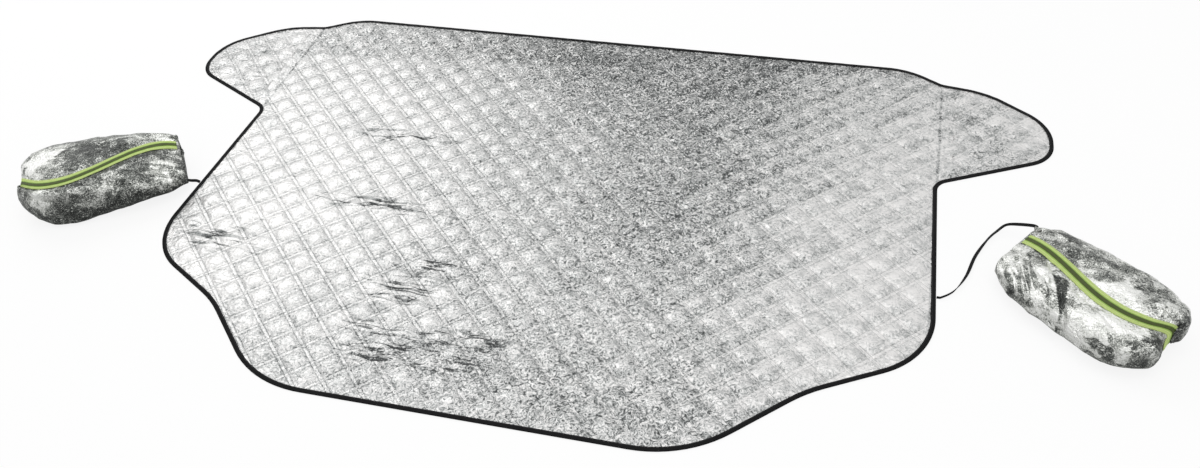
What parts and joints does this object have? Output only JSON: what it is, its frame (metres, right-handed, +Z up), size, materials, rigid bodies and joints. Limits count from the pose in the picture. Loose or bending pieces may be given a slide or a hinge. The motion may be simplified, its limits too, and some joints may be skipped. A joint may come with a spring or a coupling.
{
  "type": "windshield frost cover",
  "caption": "Quilted foil windshield cover with sewn-on door ears, a black bound edge and a foil mirror bag on an elastic tie at each side, laid out flat.",
  "frame": {"origin": "on the floor, under the middle of the panel", "axes": "+X across the windshield to the right-hand mirror bag in the picture, +Y towards the roof edge, +Z up off the floor"},
  "size_m": [2.2053, 1.1215, 0.0904],
  "materials": {
    "foil_quilt": "quilted aluminised foil, satin",
    "crinkled_foil": "crinkled aluminised foil, satin",
    "binding_tape": "woven tape, dull",
    "elastic": "covered elastic, dull",
    "green_tape": "bright woven tape",
    "reflective_stripe": "reflective tape"
  },
  "bodies": {
    "root": {"quilted_panel": "foil_quilt", "ear_left": "foil_quilt", "ear_right": "foil_quilt", "edge_binding": "binding_tape", "mirror_bag_left": "crinkled_foil", "mirror_bag_right": "crinkled_foil", "mouth_elastic_left": "elastic", "mouth_elastic_right": "elastic", "reflective_band_left": "green_tape", "reflective_band_right": "green_tape", "reflective_stripe_left": "reflective_stripe", "reflective_stripe_right": "reflective_stripe", "tie_left": "elastic", "tie_right": "elastic"}
  },
  "joints": []
}
